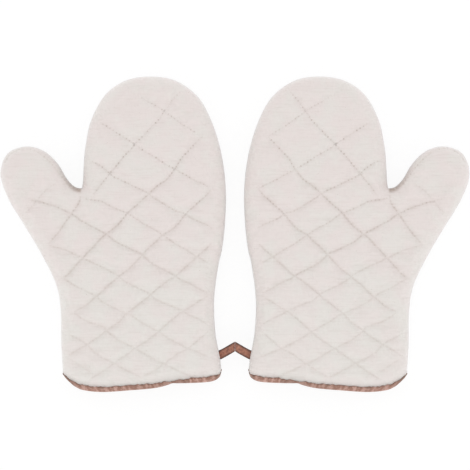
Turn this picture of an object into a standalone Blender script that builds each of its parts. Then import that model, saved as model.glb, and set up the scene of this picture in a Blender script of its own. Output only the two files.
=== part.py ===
"""A pair of quilted oven gloves, lying side by side with their thumbs outwards.

Metres, +Z up. The gloves lie on Z = 0 with their fingertips towards +Y, and the
pair is mirrored at X = 0. Each glove has a quilted front and back panel, two
sheets of batting, two lining panels, a binding folded over the cuff's edge and
a hanging loop of folded tape that is sewn into the side seam.
"""

from math import asin, atan2, cos, pi, radians, sin

import bmesh
import bpy
from mathutils import Vector

# Glove
GLOVE_LENGTH = 0.300
CUFF_WIDTH = 0.152
FRONT_RISE = 0.0135
BACK_RISE = 0.0115
EDGE_ROUND = 0.0115
SEAM_GAP = 0.0003
LAYER_GAP = 0.0003
COVER_THICKNESS = 0.0011
BATTING_THICKNESS = 0.0035
LINING_THICKNESS = 0.0008

# Quilting: two families of stitch lines that cross at one stated point
FALLING_PITCH = 0.0223
RISING_PITCH = 0.0292
CROSSING_X = -0.0059
CROSSING_Y = 0.0421
FALLING_ANGLE = radians(-24.6)
RISING_ANGLE = radians(34.6)
FINGER_SPREAD_SHARE = 0.35
PAD_RISE = 0.0016
PAD_CROWN = 0.0008
PAD_INSET_SHARE = 0.30
PAD_BACKING_SHARE = 0.60
LEAST_PAD_SHARE = 0.12
FULL_PAD_SHARE = 0.70

# Cuff binding
BINDING_DEPTH = 0.0052
BINDING_THICKNESS = 0.0009
FOLD_CLEARANCE = 0.0008

# Hanging loop
LOOP_HEIGHT = 0.0362
LOOP_REACH = 0.0143
LOOP_LIFT = radians(14)
TAPE_WIDTH = 0.0086
TAPE_THICKNESS = 0.0008
TAPE_GAP = 0.0003
FOLD_RADIUS = 0.0046
PAIR_GAP = 0.0006

# Facets
EDGE_STEPS = 3
CUFF_STEPS = 8
FOLD_STEPS = 10
ROOT_STEPS = 4
STRAIGHT_TURN = radians(17)
SHARP_ANGLE = radians(50)

# Outlines, as shares of the cuff's width from its middle and of the glove's
# length from the cuff's lowest point. The thumb side runs from the cuff up and
# round the thumb to the crotch, the hand side from the crotch round the
# fingertips and down to the cuff.
THUMB_SIDE_SHARES = (
    (-0.506, 0.149), (-0.506, 0.254), (-0.534, 0.337), (-0.616, 0.430),
    (-0.731, 0.529), (-0.831, 0.610), (-0.884, 0.689), (-0.850, 0.757),
    (-0.731, 0.781), (-0.619, 0.770), (-0.531, 0.730), (-0.475, 0.679),
    (-0.425, 0.652), (-0.391, 0.638),
)
HAND_SIDE_SHARES = (
    (-0.391, 0.638), (-0.378, 0.667), (-0.362, 0.775), (-0.328, 0.860),
    (-0.238, 0.941), (-0.106, 0.987), (0.050, 1.000), (0.206, 0.987),
    (0.344, 0.937), (0.431, 0.860), (0.494, 0.756), (0.522, 0.641),
    (0.512, 0.530), (0.475, 0.406), (0.450, 0.292), (0.458, 0.187),
    (0.487, 0.111),
)
CUFF_EDGE_SHARES = (
    (-0.500, 0.0635), (-0.484, 0.0430), (-0.456, 0.0254), (-0.419, 0.0100),
    (-0.362, 0.0030), (-0.244, 0.0000), (-0.075, 0.0040), (0.075, 0.0100),
    (0.156, 0.0190), (0.225, 0.0276), (0.394, 0.0300), (0.456, 0.0356),
    (0.487, 0.0460), (0.500, 0.0700),
)

# Sizes that follow from those above
WALL = COVER_THICKNESS + BATTING_THICKNESS + LINING_THICKNESS + 2 * LAYER_GAP
BINDING_OVERHANG = FOLD_CLEARANCE + BINDING_THICKNESS
SEAM_HEIGHT = BACK_RISE + PAD_RISE + SEAM_GAP / 2
LOOP_ROOT = TAPE_THICKNESS + TAPE_GAP / 2


def clear_scene():
    for obj in list(bpy.data.objects):
        bpy.data.objects.remove(obj, do_unlink=True)


def material(name, colour, roughness):
    made = bpy.data.materials.new(name)
    made.use_nodes = True
    shader = made.node_tree.nodes["Principled BSDF"]
    shader.inputs["Base Color"].default_value = (*colour, 1)
    shader.inputs["Roughness"].default_value = roughness
    shader.inputs["Metallic"].default_value = 0
    return made


# Outline


def placed(share):
    return Vector((share[0] * CUFF_WIDTH, share[1] * GLOVE_LENGTH))


def turn_between(before, after):
    return abs(before.angle_signed(after))


def smooth_line(points):
    """The points joined by a Catmull-Rom curve, with a middle point on each span that turns."""
    ends = [2 * points[0] - points[1], *points, 2 * points[-1] - points[-2]]
    line = []
    for before, start, end, after in zip(ends, ends[1:], ends[2:], ends[3:]):
        line.append(start)
        if turn_between(start - before, after - end) > STRAIGHT_TURN:
            line.append((9 * (start + end) - before - after) / 16)
    return [*line, points[-1]]


def seam_line():
    """The side seam in plan as points and inward directions, thumb side first."""
    thumb = smooth_line([placed(share) for share in THUMB_SIDE_SHARES])
    hand = smooth_line([placed(share) for share in HAND_SIDE_SHARES])
    points = thumb + hand[1:]
    half = CUFF_WIDTH / 2
    ends = [Vector((-half, cuff_level(-half))), *points, Vector((half, cuff_level(half)))]
    inward = []
    for before, point, after in zip(ends, ends[1:], ends[2:]):
        along = (point - before).normalized() + (after - point).normalized()
        inward.append(Vector((along.y, -along.x)).normalized())
    return points, inward


def cuff_level(x):
    """How far up the cuff's edge lies at this place across it."""
    line = [placed(share) for share in CUFF_EDGE_SHARES]
    inside = min(max(x, line[0].x), line[-1].x)
    for start, end in zip(line, line[1:]):
        if inside <= end.x:
            break
    return start.y + (end.y - start.y) * (inside - start.x) / (end.x - start.x)


def ring(distance, column):
    """A line at this distance inside the side seam, from the cuff's edge to the cuff's edge.

    Its ends lie at the cuff's level in the column that all layers share.
    """
    points, inward = SEAM
    left = distance - CUFF_WIDTH / 2
    right = CUFF_WIDTH / 2 - distance
    start = cuff_level(column - CUFF_WIDTH / 2)
    end = cuff_level(CUFF_WIDTH / 2 - column)
    line = [Vector((left, start)), Vector((left, start + BINDING_DEPTH))]
    line += [point + side * distance for point, side in zip(points, inward)]
    line += [Vector((right, end + BINDING_DEPTH)), Vector((right, end))]
    return line


def edge_levels(inset, rise):
    """Distance inside the seam, height over it and column, for each step of the rounded edge."""
    levels = []
    for step in range(EDGE_STEPS + 1):
        angle = pi / 2 * step / EDGE_STEPS
        curve = 1 - cos(angle)
        distance = inset + (EDGE_ROUND - inset) * curve
        levels.append((distance, (rise - inset) * sin(angle), EDGE_ROUND * curve))
    return levels


def cuff_columns():
    """The places across the cuff, between its two rounded edges."""
    side = CUFF_WIDTH / 2 - EDGE_ROUND
    return [side * (2 * step / CUFF_STEPS - 1) for step in range(1, CUFF_STEPS)]


# Quilting


def to_net(y):
    """The stitch lines are straight in the net's own lengthwise scale, which opens out at the fingers."""
    return y / (1 + FINGER_SPREAD_SHARE * y / GLOVE_LENGTH)


def from_net(v):
    return v / (1 - FINGER_SPREAD_SHARE * v / GLOVE_LENGTH)


def stitch_lines():
    """A point and a direction across each stitch line that can reach the glove, in the net's scale."""
    crossing = Vector((CROSSING_X, to_net(CROSSING_Y), 0))
    lines = []
    for angle, pitch in ((FALLING_ANGLE, FALLING_PITCH), (RISING_ANGLE, RISING_PITCH)):
        across = Vector((-sin(angle), cos(angle), 0))
        reach = int((GLOVE_LENGTH + CUFF_WIDTH) / pitch)
        for step in range(-reach, reach + 1):
            lines.append((crossing + across * pitch * step, across))
    return lines


def cut_pads(mesh, field):
    """Cuts the field into the net's cells and returns them."""
    layer = mesh.faces.layers.int["pad"]
    field[layer] = 1
    for vertex in mesh.verts:
        vertex.co.y = to_net(vertex.co.y)
    for point, across in stitch_lines():
        pads = [face for face in mesh.faces if face[layer]]
        edges = {edge for face in pads for edge in face.edges}
        corners = {corner for face in pads for corner in face.verts}
        bmesh.ops.bisect_plane(
            mesh, geom=[*pads, *edges, *corners], plane_co=point, plane_no=across
        )
    for vertex in mesh.verts:
        vertex.co.y = from_net(vertex.co.y)
    pads = [face for face in mesh.faces if face[layer]]
    for pad in pads:
        pad[layer] = 0
    return pads


def pad_share(pad):
    """How much of the full rise a cell gets: the glove's edge cuts some of them down."""
    whole = FALLING_PITCH * RISING_PITCH / abs(sin(RISING_ANGLE - FALLING_ANGLE))
    return min(1, pad.calc_area() / whole / FULL_PAD_SHARE)


def raise_pad(mesh, pad, rise, crown):
    """The cell rises to a smaller ring, and from there to its middle by the crown."""
    middle = pad.calc_center_median()
    bmesh.ops.inset_individual(mesh, faces=[pad], thickness=0)
    for vertex in pad.verts:
        vertex.co = vertex.co.lerp(middle, PAD_INSET_SHARE)
        vertex.co.z += rise
    if crown:
        tops = bmesh.ops.poke(mesh, faces=[pad])["verts"]
        tops[0].co.z += crown


def hollow_pad(mesh, pad, rise):
    """The inner side of a raised cell: one high point over its middle."""
    tops = bmesh.ops.poke(mesh, faces=[pad])["verts"]
    tops[0].co.z += rise * PAD_BACKING_SHARE


# Panels


def add_side(mesh, inset, rise):
    """One side of a layer as an open surface. Returns its border vertices and its inner field."""
    rows = []
    for distance, height, column in edge_levels(inset, rise):
        level = SEAM_GAP / 2 + height
        line = ring(distance, column)
        rows.append([mesh.verts.new((*point, level)) for point in line])
    for outer, inner in zip(rows, rows[1:]):
        for corners in zip(outer, outer[1:], inner[1:], inner):
            mesh.faces.new(corners)
    top = rows[-1]
    level = top[0].co.z
    bound = [top[1], top[-2]]
    edge = [top[0], top[-1]]
    for x in cuff_columns():
        bound.insert(-1, mesh.verts.new((x, cuff_level(x) + BINDING_DEPTH, level)))
        edge.insert(-1, mesh.verts.new((x, cuff_level(x), level)))
    for corners in zip(edge, edge[1:], bound[1:], bound):
        mesh.faces.new(corners)
    field = mesh.faces.new(top[1:-1] + bound[-2:0:-1])
    mesh.faces.ensure_lookup_table()
    right = [row[-1] for row in rows[1:-1]]
    left = [row[0] for row in rows[1:-1]]
    border = rows[0] + right + edge[::-1] + left[::-1]
    return border, field


def panel_mesh(name, inset, thickness, rise, side, quilted=False, crown=0):
    """One layer of a glove's front (side 1) or back (side -1): two surfaces closed along their border."""
    mesh = bmesh.new()
    mesh.faces.layers.int.new("pad")
    borders = []
    for depth, outside in ((inset, True), (inset + thickness, False)):
        border, field = add_side(mesh, depth, rise)
        borders.append(border)
        if not quilted:
            continue
        for pad in cut_pads(mesh, field):
            share = pad_share(pad)
            if share < LEAST_PAD_SHARE:
                continue
            if outside:
                raise_pad(mesh, pad, PAD_RISE * share, crown * share)
            else:
                hollow_pad(mesh, pad, PAD_RISE * share)
    outer, inner = borders
    for corners in zip(outer, outer[1:] + outer[:1], inner[1:] + inner[:1], inner):
        mesh.faces.new(corners)
    for vertex in mesh.verts:
        vertex.co.z *= side
    return finished(mesh, name)


def finished(mesh, name):
    """The closed mesh as shaded Blender data with its faces outwards."""
    bmesh.ops.recalc_face_normals(mesh, faces=mesh.faces)
    if mesh.calc_volume(signed=True) < 0:
        bmesh.ops.reverse_faces(mesh, faces=mesh.faces)
    bmesh.ops.triangulate(mesh, faces=mesh.faces, quad_method="SHORT_EDGE")
    data = bpy.data.meshes.new(name)
    mesh.to_mesh(data)
    mesh.free()
    data.shade_smooth()
    data.set_sharp_from_angle(angle=SHARP_ANGLE)
    return data


# Cuff binding


def mouth_half(inset, rise, height, side):
    """The front or back half of the cuff's section, from side seam to side seam."""
    half = CUFF_WIDTH / 2
    levels = edge_levels(inset, rise)
    top = levels[-1][1]
    line = [(distance - half, column - half, level) for distance, level, column in levels]
    line += [(x, x, top) for x in cuff_columns()]
    line += [(half - distance, half - column, level) for distance, level, column in levels[::-1]]
    points = []
    for x, column, level in line:
        z = (level + SEAM_GAP / 2) * side if level else 0
        points.append(Vector((x, cuff_level(column) + height, z)))
    return points


def mouth_line(inset, height):
    """The cuff's section at this depth in the wall, as a closed line at this height over its edge."""
    front = mouth_half(inset, FRONT_RISE, height, 1)
    back = mouth_half(inset, BACK_RISE, height, -1)
    return front + back[-2:0:-1]


def binding_mesh():
    """A tape folded over the cuff's edge: its section is carried round the mouth."""
    near = LAYER_GAP
    far = LAYER_GAP + BINDING_THICKNESS
    fold = -FOLD_CLEARANCE
    under_cover = COVER_THICKNESS + LAYER_GAP / 2
    under_batting = WALL - LINING_THICKNESS - LAYER_GAP / 2
    section = (
        (-far, BINDING_DEPTH), (-far, fold), (-near, -BINDING_OVERHANG),
        (WALL + near, -BINDING_OVERHANG), (WALL + far, fold), (WALL + far, BINDING_DEPTH),
        (WALL + near, BINDING_DEPTH), (WALL + near, fold), (under_batting, fold),
        (under_cover, fold), (-near, fold), (-near, BINDING_DEPTH),
    )
    mesh = bmesh.new()
    rings = [[mesh.verts.new(point) for point in mouth_line(*place)] for place in section]
    for one, other in zip(rings, rings[1:] + rings[:1]):
        for corners in zip(one, one[1:] + one[:1], other[1:] + other[:1], other):
            mesh.faces.new(corners)
    return finished(mesh, "cuff_binding")


# Hanging loop


def loop_seat():
    """Where the loop leaves the side seam, and the direction in which it leaves."""
    points, inward = SEAM
    half = CUFF_WIDTH / 2
    line = [*points, Vector((half, cuff_level(half)))]
    start, end = next(
        (start, end)
        for start, end in zip(line[::-1][1:], line[::-1])
        if start.y >= LOOP_HEIGHT > end.y
    )
    along = (end - start).normalized()
    seat = start + (end - start) * (start.y - LOOP_HEIGHT) / (start.y - end.y)
    return seat, Vector((-along.y, along.x))


def loop_profile(reach):
    """The folded tape from the side: round the fold, back to the seam and round the sewn end."""
    fold = FOLD_RADIUS - TAPE_THICKNESS / 2
    middle = reach - FOLD_RADIUS
    root = LOOP_ROOT - TAPE_THICKNESS / 2
    flare = asin((fold - root) / middle)
    line = []
    for place, radius, turn, start, steps in (
        (middle, fold, pi + 2 * flare, pi / 2 + flare, FOLD_STEPS),
        (0, root, pi - 2 * flare, flare - pi / 2, ROOT_STEPS),
    ):
        for step in range(steps + 1):
            angle = start - turn * step / steps
            line.append((place + radius * cos(angle), radius * sin(angle)))
    return line


def loop_pivot():
    """The loop's hinge line: it lies along the seam, just outside it."""
    seat, outward = loop_seat()
    return seat + outward * (SEAM_GAP + LOOP_ROOT), outward


def loop_mesh():
    """A tape with its fold cut to lie along the plane between the two gloves."""
    pivot, outward = loop_pivot()
    reach = (GLOVE_PLACE - PAIR_GAP / 2 - pivot.x) / outward.x
    slope = outward.y / outward.x
    mesh = bmesh.new()
    rows = []
    for across in (-TAPE_WIDTH / 2, TAPE_WIDTH / 2):
        row = []
        for x, z in loop_profile(reach):
            y = across + x * sin(LOOP_LIFT)
            stretch = 1 + y * slope / reach
            row.append(mesh.verts.new((x * stretch, y, z)))
        rows.append(row)
    low, high = rows
    for corners in zip(low, low[1:] + low[:1], high[1:] + high[:1], high):
        mesh.faces.new(corners)
    data = bpy.data.meshes.new("hanging_loop")
    mesh.to_mesh(data)
    mesh.free()
    data.shade_smooth()
    return data


def thicken(obj):
    solid = obj.modifiers.new("tape thickness", "SOLIDIFY")
    solid.thickness = TAPE_THICKNESS
    solid.offset = 0
    solid.use_even_offset = True


# Assembly


def pair_place():
    """Half the distance between the two gloves' cuff middles."""
    seat, _ = loop_seat()
    return seat.x + LOOP_REACH + PAIR_GAP / 2


def empty(name, collection, parent=None):
    made = bpy.data.objects.new(name, None)
    made.parent = parent
    collection.objects.link(made)
    return made


def add_object(name, data, collection, parent):
    made = bpy.data.objects.new(name, data)
    made.parent = parent
    collection.objects.link(made)
    return made


def layer_meshes():
    """The meshes of one glove's layers and the material that each takes."""
    cotton = material("quilted_cotton", (0.76, 0.72, 0.68), 0.92)
    wadding = material("cotton_batting", (0.86, 0.84, 0.80), 1.0)
    lining = material("plain_lining", (0.80, 0.77, 0.72), 0.90)
    batting_inset = COVER_THICKNESS + LAYER_GAP
    lining_inset = batting_inset + BATTING_THICKNESS + LAYER_GAP
    made = []
    for side, word, rise, crown in (
        (1, "front", FRONT_RISE, PAD_CROWN),
        (-1, "back", BACK_RISE, 0),
    ):
        cover = panel_mesh(word + "_panel", 0, COVER_THICKNESS, rise, side, True, crown)
        middle = panel_mesh(
            word + "_batting", batting_inset, BATTING_THICKNESS, rise, side
        )
        inner = panel_mesh(word + "_lining", lining_inset, LINING_THICKNESS, rise, side)
        for data, colour in ((cover, cotton), (middle, wadding), (inner, lining)):
            data.materials.append(colour)
            made.append(data)
    return made


def build_pair():
    collection = bpy.data.collections.new("oven_gloves")
    bpy.context.scene.collection.children.link(collection)
    tape = material("brown_tape", (0.31, 0.13, 0.08), 0.88)
    piping = material("brown_binding", (0.43, 0.21, 0.15), 0.85)
    layers = layer_meshes()
    binding = binding_mesh()
    binding.materials.append(piping)
    loop = loop_mesh()
    loop.materials.append(tape)
    pivot, outward = loop_pivot()
    for word, side in (("left", 1), ("right", -1)):
        glove = empty(word + "_glove", collection)
        glove.location = (
            -side * GLOVE_PLACE,
            (BINDING_OVERHANG - GLOVE_LENGTH) / 2,
            SEAM_HEIGHT,
        )
        glove.scale = (side, 1, 1)
        for data in layers:
            add_object(f"{word}_{data.name}", data, collection, glove)
        add_object(f"{word}_cuff_binding", binding, collection, glove)
        hinge = empty(word + "_loop_hinge", collection, glove)
        hinge.location = (*pivot, 0)
        hinge.rotation_euler.z = atan2(outward.y, outward.x)
        thicken(add_object(f"{word}_hanging_loop", loop, collection, hinge))


clear_scene()
SEAM = seam_line()
GLOVE_PLACE = pair_place()
build_pair()
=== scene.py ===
# %% [markdown]
# # A pair of quilted oven gloves
# Two padded mittens of natural cotton lie side by side, thumbs outwards. Each
# has a front and a back that are quilted in long diamonds, a brown binding
# round the cuff and a loop of brown tape for hanging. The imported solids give
# the pair's place, and this script gives it its cloth.
# %% The frame
from math import asin, cos, pi, radians, sin

import bmesh
import bpy
import numpy as np
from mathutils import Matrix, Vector, geometry
from mathutils.bvhtree import BVHTree
from mathutils.kdtree import KDTree


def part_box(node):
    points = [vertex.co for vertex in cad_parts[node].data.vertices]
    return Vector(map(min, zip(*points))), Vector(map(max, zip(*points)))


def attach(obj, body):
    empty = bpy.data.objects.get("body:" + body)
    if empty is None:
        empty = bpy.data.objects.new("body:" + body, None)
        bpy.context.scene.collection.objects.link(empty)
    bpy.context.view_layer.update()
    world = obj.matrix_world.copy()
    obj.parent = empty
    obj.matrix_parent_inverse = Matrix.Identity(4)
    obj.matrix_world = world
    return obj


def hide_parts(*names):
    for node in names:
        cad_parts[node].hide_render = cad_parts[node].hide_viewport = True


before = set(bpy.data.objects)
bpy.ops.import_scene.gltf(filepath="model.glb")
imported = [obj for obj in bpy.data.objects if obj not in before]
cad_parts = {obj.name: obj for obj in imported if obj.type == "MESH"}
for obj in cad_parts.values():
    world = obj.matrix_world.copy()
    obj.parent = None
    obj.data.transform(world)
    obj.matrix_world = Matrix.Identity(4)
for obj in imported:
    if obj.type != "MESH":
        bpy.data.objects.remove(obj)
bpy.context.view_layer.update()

# %% [markdown]
# The photograph looks straight down at the pair, which fills the width of the
# picture. A long lens keeps the view nearly flat.
# %% Camera
MM = 0.001
PIXEL = 0.952 * MM
PHOTO_SIDE_PX = 470
PICTURE_WIDTH = PHOTO_SIDE_PX * PIXEL
SEAM_HEIGHT = 13.25 * MM
LENS = 200
SENSOR = 36
NEAREST_SEEN = 0.05


def in_scene(name, data):
    """A new object that holds this data, linked to the scene."""
    made = bpy.data.objects.new(name, data)
    bpy.context.scene.collection.objects.link(made)
    return made


camera = in_scene("camera", bpy.data.cameras.new("camera"))
camera.data.lens = LENS
camera.data.sensor_width = SENSOR
camera.data.clip_start = NEAREST_SEEN
camera.location = (0, 0, SEAM_HEIGHT + PICTURE_WIDTH * LENS / SENSOR)
bpy.context.scene.camera = camera
bpy.context.scene.view_settings.view_transform = "Standard"
print("camera hangs", round(camera.location.z, 3), "m over the table")

# %% [markdown]
# The gloves are a mirrored pair, so one glove is made in its own plan: x runs
# across from the middle of the cuff, y up from the cuff's lowest point. Its
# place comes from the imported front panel, whose box ends at the hand's widest
# point and at the fingertips. The outline is held as shares of the cuff's
# width and the glove's length.
# %% The glove's plan
GLOVE_LENGTH = 300 * MM
CUFF_WIDTH = 152 * MM
FRONT_RISE = 13.5 * MM
BACK_RISE = 11.5 * MM
EDGE_ROUND = 11.5 * MM
HALF_SEAM_GAP = 0.15 * MM
EDGE_STEP = 1.5 * MM
CURVE_PARTS = 24

THUMB_SIDE_SHARES = (
    (-0.497, 0.0580), (-0.508, 0.149), (-0.511, 0.254), (-0.539, 0.337), (-0.626, 0.430),
    (-0.741, 0.529), (-0.838, 0.610), (-0.889, 0.689), (-0.846, 0.755), (-0.731, 0.778),
    (-0.619, 0.764), (-0.534, 0.725), (-0.478, 0.679), (-0.449, 0.6605), (-0.424, 0.6500),
    (-0.400, 0.6458), (-0.379, 0.6452),
)
HAND_SIDE_SHARES = (
    (-0.379, 0.6452), (-0.3725, 0.668), (-0.3675, 0.720), (-0.358, 0.775), (-0.322, 0.860),
    (-0.235, 0.941), (-0.106, 0.987), (0.050, 1.000), (0.206, 0.987), (0.344, 0.937),
    (0.431, 0.860), (0.494, 0.756), (0.522, 0.641), (0.516, 0.530), (0.498, 0.451),
    (0.475, 0.400), (0.449, 0.292), (0.457, 0.187), (0.484, 0.111), (0.494, 0.070),
)
CUFF_EDGE_SHARES = (
    (-0.497, 0.0580), (-0.484, 0.0505), (-0.456, 0.0378), (-0.419, 0.0240), (-0.362, 0.0121),
    (-0.244, 0.0066), (-0.075, 0.0120), (0.075, 0.0188), (0.156, 0.0281), (0.188, 0.0342),
    (0.225, 0.0342), (0.300, 0.0350), (0.394, 0.0374), (0.456, 0.0424), (0.484, 0.0520),
    (0.494, 0.0700),
)

panel_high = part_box("left_front_panel")[1]
GLOVE_X = panel_high.x - max(x for x, _ in HAND_SIDE_SHARES) * CUFF_WIDTH
GLOVE_Y = panel_high.y - GLOVE_LENGTH
print("left glove's cuff middle is at x", round(GLOVE_X, 5), "and its foot at y", round(GLOVE_Y, 5))


def even(line, step):
    """The line's points moved to even steps along it, with its two ends kept."""
    line = np.asarray(line, float)
    run = np.concatenate([[0], np.cumsum(np.linalg.norm(np.diff(line, axis=0), axis=1))])
    count = max(1, int(round(run[-1] / step)))
    places = np.linspace(0, run[-1], count + 1)
    return np.stack([np.interp(places, run, line[:, k]) for k in range(line.shape[1])], axis=1)


def smooth_path(points, step):
    """A Catmull-Rom curve through the points, at even steps along it."""
    points = np.array(points, float)
    ends = np.vstack([2 * points[0] - points[1], points, 2 * points[-1] - points[-2]])
    fine = []
    for a, b, c, d in zip(ends, ends[1:], ends[2:], ends[3:]):
        t = np.linspace(0, 1, CURVE_PARTS, endpoint=False)[:, None]
        fine.append(
            0.5 * (2 * b + (c - a) * t + (2 * a - 5 * b + 4 * c - d) * t**2
                   + (3 * b - a - 3 * c + d) * t**3)
        )
    return even(np.vstack([*fine, points[-1:]]), step)


def directions(line):
    """The line's unit direction at each of its points."""
    tangent = np.gradient(line, axis=0)
    return tangent / np.linalg.norm(tangent, axis=1)[:, None]


def leftward(vectors):
    """The vectors in plan turned a quarter to the left."""
    return np.stack([-vectors[:, 1], vectors[:, 0]], axis=1)


def runs_of(line):
    """How far along an evenly stepped line each of its points lies."""
    return np.arange(len(line)) * np.linalg.norm(line[1] - line[0])


def tree_of(points):
    """A search tree of points in plan."""
    tree = KDTree(len(points))
    for index, (x, y) in enumerate(points):
        tree.insert((x, y, 0), index)
    tree.balance()
    return tree


def ramp(value, low, high):
    """0 below low, 1 above high, and smooth between them."""
    share = np.clip((value - low) / (high - low), 0, 1)
    return share * share * (3 - 2 * share)


def bell(value, reach):
    """1 at zero, dropping on both sides over this reach."""
    return np.exp(-((value / reach) ** 2))


def in_glove(shares):
    return smooth_path([(x * CUFF_WIDTH, y * GLOVE_LENGTH) for x, y in shares], EDGE_STEP)


thumb_side, hand_side = in_glove(THUMB_SIDE_SHARES), in_glove(HAND_SIDE_SHARES)
crotch = thumb_side[-1]
side_seam = np.vstack([thumb_side, hand_side[1:]])
cuff_edge = in_glove(CUFF_EDGE_SHARES)
outline = np.vstack([side_seam, cuff_edge[::-1][1:-1]])


def cuff_level(x):
    return np.interp(x, cuff_edge[:, 0], cuff_edge[:, 1])


def over_cuff(places):
    """How far up from the cuff's edge the places lie."""
    return places[:, 1] - cuff_level(places[:, 0])


print("outline of", len(outline), "points, side seam of", len(side_seam))

# %% [markdown]
# The stitch lines were followed in the photograph, point by point, in its
# pixels. Each has its own strength, because the photograph shows some of
# them as dark grooves and others as faint ones.
# %% The stitch lines
CUFF_MIDDLE_PX = 142
FOOT_PX = 392
CUFF_WIDTH_PX = 160
LENGTH_PX = 315
RISING_LINES_PX = (
    (0.4, ((24, 215), (31, 209), (43, 194), (54, 186))),
    (1.15, ((51, 242), (61, 229.4), (71.3, 215), (78.7, 204), (80.7, 193))),
    (0.75, ((94.5, 193.5), (112, 172), (122, 159.5), (131, 150), (141.5, 138.5), (152.4, 127),
     (160.2, 118.7), (171, 103), (177, 96))),
    (1.2, ((61.5, 279.2), (70, 273.1), (77.7, 263.8), (87.7, 253), (95.4, 245.4), (105.5, 234.9),
     (116.2, 226.7), (123.8, 218.5), (129.2, 212.3), (137.7, 204.6), (149, 194), (158.9, 185.6),
     (166.7, 180), (174, 170.3), (182.2, 158.3), (188.3, 152), (194.4, 145), (199.2, 140))),
    (1.05, ((75.3, 311.7), (83.7, 306.7), (95.3, 297.5), (103.8, 290), (113.1, 281.5), (119.2, 276.2),
     (128.5, 269.2), (137.7, 260.6), (146.9, 250), (156.2, 241.5), (162.3, 235.6), (170, 231.3),
     (177.7, 224.4), (185.6, 214), (193.3, 207.8), (198.9, 202.4), (205.6, 196.7), (210, 191))),
    (0.95, ((70.3, 354.2), (75.3, 350.8), (87, 344.2), (97, 338.3), (107, 330), (120.3, 320.6),
     (127.8, 312.7), (142, 301.7), (154.6, 291.4), (166.9, 281.5), (174.6, 276.2), (186.9, 266.2),
     (196.2, 257.7), (202.3, 252.3), (208.5, 246))),
    (0.85, ((90.3, 378.3), (103.7, 370.8), (113.7, 363.3), (125.3, 355), (135.3, 348.3), (148.7, 339.2),
     (158.7, 330.8), (168.7, 322.5), (178.7, 314.2), (188.7, 307.5), (195.3, 303.3), (205.3, 297.5))),
    (0.7, ((142, 377.5), (155.3, 369.2), (165.3, 361.7), (177, 354.2), (188.7, 347.5), (200.3, 337.5),
     (205.3, 333.3))),
    (0.3, ((192, 375.8), (203.7, 371.7), (214, 367.5))),
)
FALLING_LINES_PX = (
    (0.5, ((142.4, 99.2), (154.7, 106.4), (162.4, 111.2), (171.9, 118), (187.4, 128.7), (197, 134.8))),
    (0.7, ((104, 125.5), (113, 131.4), (123.6, 138.1), (135.8, 145.4), (139.7, 149.1), (151.3, 155.9),
     (160.8, 161.8), (175.2, 170.2), (184.7, 175.4), (191.7, 179.8), (203, 184.5), (210, 188.5))),
    (0.8, ((93, 162.6), (101, 167), (114.7, 177.6), (123.6, 182), (135.8, 188.1), (146.9, 192.8),
     (152.5, 197.4), (159.2, 201.5), (168.5, 207.7), (176.2, 211.5), (185, 213.8), (190, 217.7),
     (199.2, 222.3), (209.2, 226.9))),
    (0.8, ((84, 199.2), (90, 200), (100.8, 201.7), (108.5, 205.4), (119.2, 210.8), (128.4, 213.8),
     (140.8, 222.3), (150, 227.7), (162.3, 234.8), (168.5, 239.2), (177.7, 245.4), (186.9, 250.8),
     (196.2, 256.4), (205.4, 261.5))),
    (1.05, ((33.3, 200.7), (44.4, 203.5), (57.4, 208.1), (71.5, 214), (82.3, 221.5), (93.1, 227.7),
     (105.3, 233.6), (109.2, 236.4), (117.7, 243.1), (128.5, 248.5), (140, 253.4), (145.4, 257.7),
     (154.6, 265.4), (163.8, 270), (173.4, 274.8), (179.2, 278.5), (188.5, 283.1), (197.7, 288.5),
     (205.4, 292.3))),
    (0.8, ((51, 246), (66.7, 250.9), (77.7, 255.4), (88.5, 260.8), (97.7, 265.4), (106.2, 269.2),
     (117, 275), (122.3, 279.2), (131.5, 285.4), (142.3, 290), (150.3, 294.6), (158.7, 300.8),
     (168.7, 305), (180, 309.6), (187, 313.3), (197, 318.3), (208.7, 325))),
    (0.75, ((62, 278), (70, 282.3), (79.2, 287.7), (90, 292.6), (97, 297.5), (102, 301.5), (112, 306.7),
     (126, 312.9), (132, 315.8), (142, 322.5), (156.5, 330), (162, 334.2), (172, 340), (185.6, 346.9),
     (195.3, 350.8), (208.7, 356.7))),
    (0.85, ((75.3, 313.3), (83.7, 319.2), (95.3, 324.2), (104.5, 327.6), (109.5, 333), (118.7, 339.2),
     (130, 345.6), (138.7, 350), (148.7, 355.8), (162, 362.7), (168.7, 365.8), (178.7, 370.8),
     (190.3, 375.8))),
    (0.8, ((70.3, 334.2), (80.3, 340), (88.3, 345.4), (95.3, 352.5), (105.3, 358.3), (115, 363.2),
     (122, 367.5), (133.7, 373.3), (142, 376.7))),
    (0.65, ((70.3, 359.2), (80.3, 365), (92, 372.5))),
)
THUMB_SEAM_PX = ((5, 163), (12, 154), (25, 149.5), (38, 153), (52, 165), (62, 178), (70, 187), (79, 192))
PATH_STEP = 1 * MM
TRACE_STEP = 0.5 * MM
LINE_EXTENSION = 8 * MM
LINE_FADE = 14 * MM
SEAM_FADE = 0.1 * MM
LINE_SWAY = 0.2 * MM
LONG_SWAY = 6.3 * MM
SHORT_SWAY = 2.9 * MM
LINE_MARGIN = 1.5 * MM
CROSSING_REACH = 1 * MM


def across_from_photo(column):
    return (column - CUFF_MIDDLE_PX) / CUFF_WIDTH_PX * CUFF_WIDTH


def from_photo(points):
    """Pixels of the photograph as places in plan."""
    column, row = np.array(points, float).T
    return np.stack([across_from_photo(column), (FOOT_PX - row) / LENGTH_PX * GLOVE_LENGTH], axis=1)


def longer(line, by):
    """The line with both ends carried on straight."""
    first, last = line[0] - line[1], line[-1] - line[-2]
    before = line[0] + first / np.linalg.norm(first) * by
    return np.vstack([before, line, line[-1] + last / np.linalg.norm(last) * by])


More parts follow.
